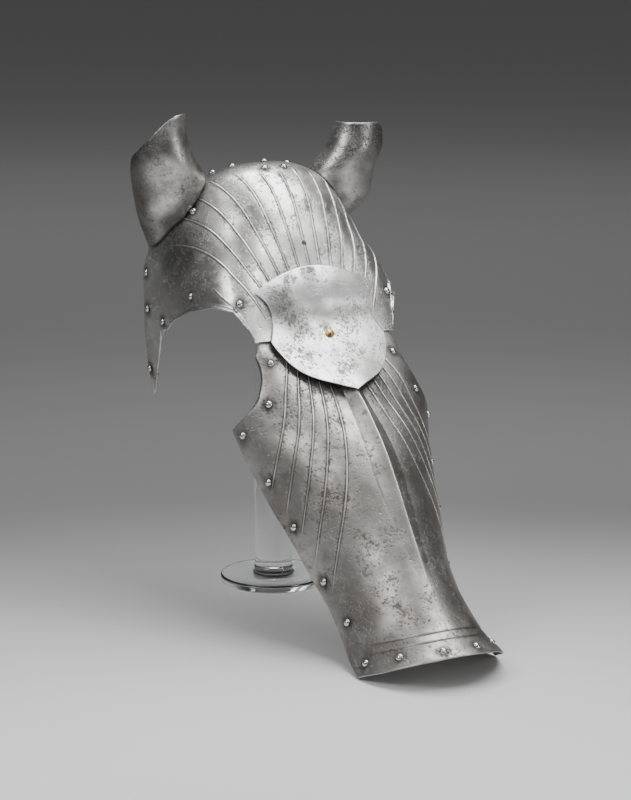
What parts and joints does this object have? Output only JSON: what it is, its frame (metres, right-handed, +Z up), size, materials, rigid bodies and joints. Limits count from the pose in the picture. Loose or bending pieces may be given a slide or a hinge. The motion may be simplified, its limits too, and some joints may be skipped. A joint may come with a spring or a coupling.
{
  "type": "horse head armour on a clear display stand",
  "caption": "Fluted steel shaffron with eye arches, ear guards and a small shield, standing on a plain clear post with a round foot.",
  "frame": {"origin": "centre of the underside of the stand's round foot, on the table", "axes": "+Z up; -Y towards the nose; +X towards the left side of the horse; the plates are symmetric about x = 0"},
  "size_m": [0.313, 0.5496, 0.5502],
  "materials": {
    "upper_steel": "polished steel with dark pitting",
    "lower_steel": "polished steel with brown patina and dark pitting",
    "ear_steel": "worn steel, heavily pitted towards the rims",
    "shield_steel": "bright steel with dark spots",
    "rivet_steel": "polished domed heads",
    "screw_brass": "polished brass",
    "acrylic": "clear, polished",
    "pad_black": "matt black"
  },
  "bodies": {
    "root": {"ear_guard_left": "ear_steel", "ear_guard_right": "ear_steel", "escutcheon": "shield_steel", "escutcheon_screw": "screw_brass", "lower_plate": "lower_steel", "post_pad": "pad_black", "rivet_arch_1_left": "rivet_steel", "rivet_arch_1_right": "rivet_steel", "rivet_arch_2_left": "rivet_steel", "rivet_arch_2_right": "rivet_steel", "rivet_arch_3_left": "rivet_steel", "rivet_arch_3_right": "rivet_steel", "rivet_cheek_left": "rivet_steel", "rivet_cheek_right": "rivet_steel", "rivet_cusp_left": "rivet_steel", "rivet_cusp_right": "rivet_steel", "rivet_ear_left": "rivet_steel", "rivet_ear_right": "rivet_steel", "rivet_edge_1_left": "rivet_steel", "rivet_edge_1_right": "rivet_steel", "rivet_edge_2_left": "rivet_steel", "rivet_edge_2_right": "rivet_steel", "rivet_edge_3_left": "rivet_steel", "rivet_edge_3_right": "rivet_steel", "rivet_edge_4_left": "rivet_steel", "rivet_edge_4_right": "rivet_steel", "rivet_lip_1_left": "rivet_steel", "rivet_lip_1_right": "rivet_steel", "rivet_lip_2_left": "rivet_steel", "rivet_lip_2_right": "rivet_steel", "rivet_lip_3_left": "rivet_steel", "rivet_lip_3_right": "rivet_steel", "rivet_poll_1_left": "rivet_steel", "rivet_poll_1_right": "rivet_steel", "rivet_poll_2_left": "rivet_steel", "rivet_poll_2_right": "rivet_steel", "rivet_poll_3_left": "rivet_steel", "rivet_poll_3_right": "rivet_steel", "rivet_poll_mid": "rivet_steel", "rivet_rear_1_left": "rivet_steel", "rivet_rear_1_right": "rivet_steel", "rivet_rear_2_left": "rivet_steel", "rivet_rear_2_right": "rivet_steel", "rivet_rear_3_left": "rivet_steel", "rivet_rear_3_right": "rivet_steel", "rivet_waist_left": "rivet_steel", "rivet_waist_right": "rivet_steel", "stand_foot": "acrylic", "stand_post": "acrylic", "upper_plate": "upper_steel"}
  },
  "joints": []
}
